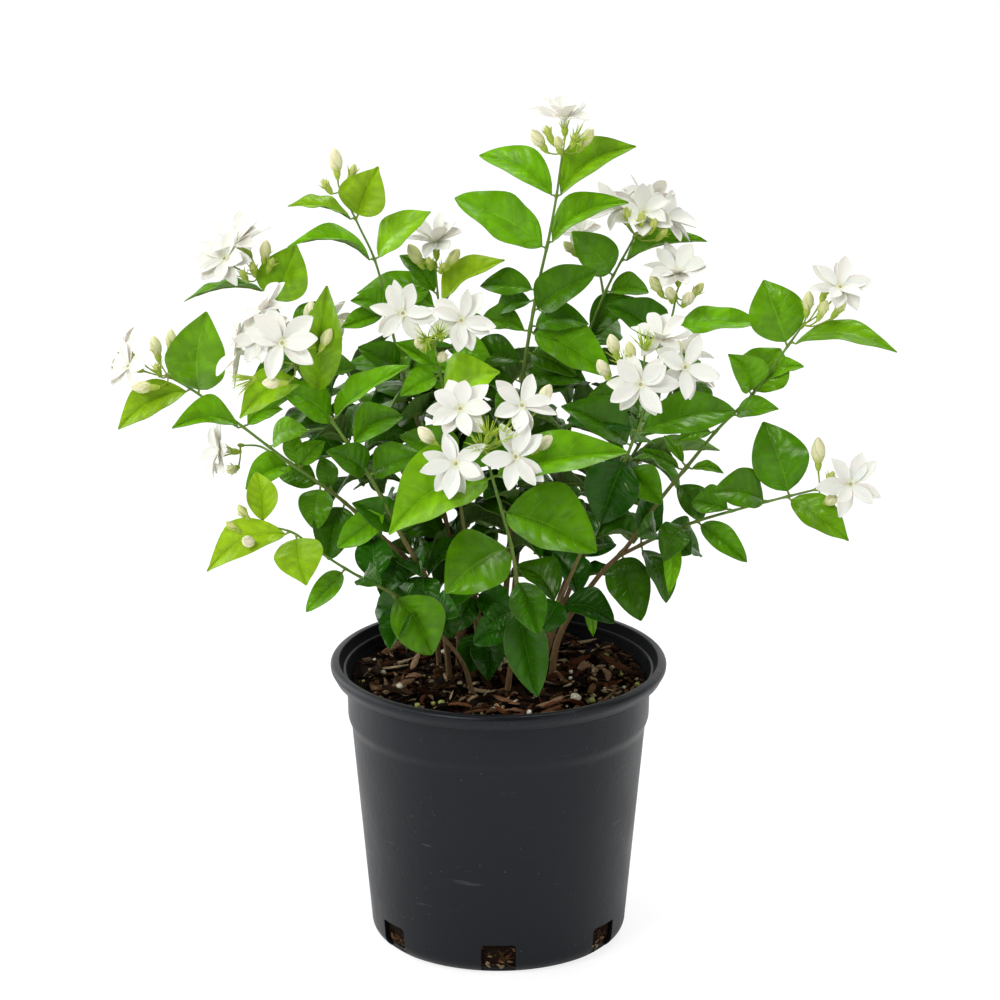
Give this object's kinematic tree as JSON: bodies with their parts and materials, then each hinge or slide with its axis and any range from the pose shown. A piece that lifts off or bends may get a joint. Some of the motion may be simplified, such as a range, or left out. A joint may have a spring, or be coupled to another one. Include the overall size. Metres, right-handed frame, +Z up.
{
  "type": "potted jasmine",
  "caption": "Arabian jasmine shrub in flower, with fanned canes, glossy leaves and white trusses, growing in a round black nursery pot with drain windows.",
  "frame": {"origin": "middle of the pot's foot, on the surface that it stands on", "axes": "+Z up along the pot's axis, -Y towards the plant's front"},
  "size_m": [0.384, 0.2794, 0.4288],
  "materials": {
    "pot_plastic": "satin",
    "growing_mix": "rough",
    "cane_bark": "rough",
    "petal": "matte",
    "leaf": "glossy"
  },
  "bodies": {
    "root": {"cane_back_left": "cane_bark", "cane_back_middle": "cane_bark", "cane_back_right": "cane_bark", "cane_centre": "cane_bark", "cane_far_left": "cane_bark", "cane_left": "cane_bark", "cane_low_left": "cane_bark", "cane_pale_left": "cane_bark", "cane_right": "cane_bark", "cane_right_front": "cane_bark", "cane_right_middle": "cane_bark", "cane_right_top": "cane_bark", "cane_side_view": "cane_bark", "cane_top": "cane_bark", "cane_upper_left": "cane_bark", "cane_upper_middle": "cane_bark", "growing_mix": "growing_mix", "leaf_back_left_1": "leaf", "leaf_back_middle_1": "leaf", "leaf_back_right_1": "leaf", "leaf_centre_1": "leaf", "leaf_centre_2": "leaf", "leaf_centre_3": "leaf", "leaf_centre_4": "leaf", "leaf_far_left_1": "leaf", "leaf_far_left_2": "leaf", "leaf_low_left_1": "leaf", "leaf_low_left_2": "leaf", "leaf_low_right_1": "leaf", "leaf_low_right_2": "leaf", "leaf_pale_left_1": "leaf", "leaf_right_1": "leaf", "leaf_right_2": "leaf", "leaf_right_middle_1": "leaf", "leaf_top_1": "leaf", "leaf_top_2": "leaf", "leaf_top_3": "leaf", "leaf_upper_left_1": "leaf", "leaf_upper_left_2": "leaf", "leaf_upper_left_3": "leaf", "pot": "pot_plastic", "truss_back_left": "petal", "truss_back_middle": "petal", "truss_back_right": "petal", "truss_centre": "petal", "truss_far_left": "petal", "truss_left": "petal", "truss_low_left": "petal", "truss_low_pale": "petal", "truss_low_right": "petal", "truss_pale_left": "petal", "truss_right": "petal", "truss_right_front": "petal", "truss_right_middle": "petal", "truss_right_top": "petal", "truss_side_view": "petal", "truss_small": "petal", "truss_top": "petal", "truss_upper_left": "petal", "truss_upper_middle": "petal"}
  },
  "joints": []
}
